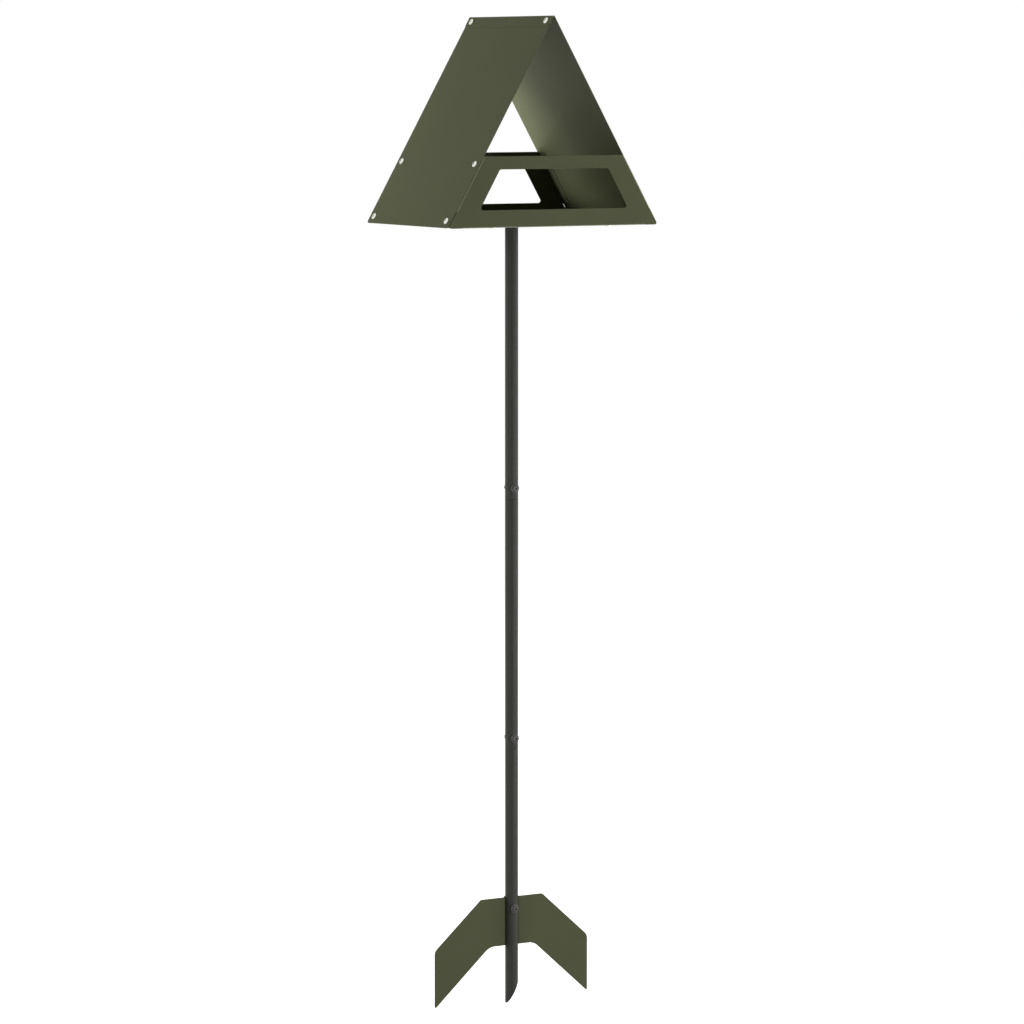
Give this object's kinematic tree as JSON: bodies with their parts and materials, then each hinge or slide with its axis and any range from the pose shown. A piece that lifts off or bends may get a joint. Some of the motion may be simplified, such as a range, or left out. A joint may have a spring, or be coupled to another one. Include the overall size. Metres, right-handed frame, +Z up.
{
  "type": "bird feeder",
  "caption": "Pole-mounted bird feeder: an A-frame house of folded sheet steel with window panels and a seed tray, on a sectional tube with a ground plate and a stake point.",
  "frame": {"origin": "on the pole's axis, level with the tip of the stake, which is the object's lowest point", "axes": "+Z up along the pole, Y along the ridge with -Y towards the front panel, X across the house and along the ground plate's wings"},
  "size_m": [0.3806, 0.276, 1.6005],
  "materials": {
    "olive_powder_coat": "satin olive-green powder coat",
    "dark_powder_coat": "satin dark olive-grey powder coat",
    "zinc_plate": "bright zinc plate",
    "black_zinc_plate": "satin black zinc plate"
  },
  "bodies": {
    "root": {"roof_left": "olive_powder_coat", "roof_right": "olive_powder_coat", "front_panel": "olive_powder_coat", "rear_panel": "olive_powder_coat", "seed_tray": "olive_powder_coat", "ground_plate": "olive_powder_coat", "upper_tube": "dark_powder_coat", "middle_tube": "dark_powder_coat", "stake": "dark_powder_coat", "cap_plate": "dark_powder_coat", "screw_ridge_left_front": "zinc_plate", "screw_ridge_left_rear": "zinc_plate", "screw_panel_left_front": "zinc_plate", "screw_panel_left_rear": "zinc_plate", "screw_panel_right_front": "zinc_plate", "screw_panel_right_rear": "zinc_plate", "screw_eaves_left_front": "zinc_plate", "screw_eaves_left_rear": "zinc_plate", "screw_eaves_right_front": "zinc_plate", "screw_eaves_right_rear": "zinc_plate", "screw_floor_left_front": "zinc_plate", "screw_floor_left_rear": "zinc_plate", "screw_floor_right_front": "zinc_plate", "screw_floor_right_rear": "zinc_plate", "screw_cap_left_front": "zinc_plate", "screw_cap_left_rear": "zinc_plate", "screw_cap_right_front": "zinc_plate", "screw_cap_right_rear": "zinc_plate", "nut_ridge_left_front": "zinc_plate", "nut_ridge_left_rear": "zinc_plate", "nut_panel_left_front": "zinc_plate", "nut_panel_left_rear": "zinc_plate", "nut_panel_right_front": "zinc_plate", "nut_panel_right_rear": "zinc_plate", "nut_eaves_left_front": "zinc_plate", "nut_eaves_left_rear": "zinc_plate", "nut_eaves_right_front": "zinc_plate", "nut_eaves_right_rear": "zinc_plate", "nut_floor_left_front": "zinc_plate", "nut_floor_left_rear": "zinc_plate", "nut_floor_right_front": "zinc_plate", "nut_floor_right_rear": "zinc_plate", "nut_cap_left_front": "zinc_plate", "nut_cap_left_rear": "zinc_plate", "nut_cap_right_front": "zinc_plate", "nut_cap_right_rear": "zinc_plate", "bolt_upper_joint": "black_zinc_plate", "lock_nut_upper_joint": "black_zinc_plate", "bolt_lower_joint": "black_zinc_plate", "lock_nut_lower_joint": "black_zinc_plate", "bolt_ground_plate": "black_zinc_plate", "lock_nut_ground_plate": "black_zinc_plate"}
  },
  "joints": []
}
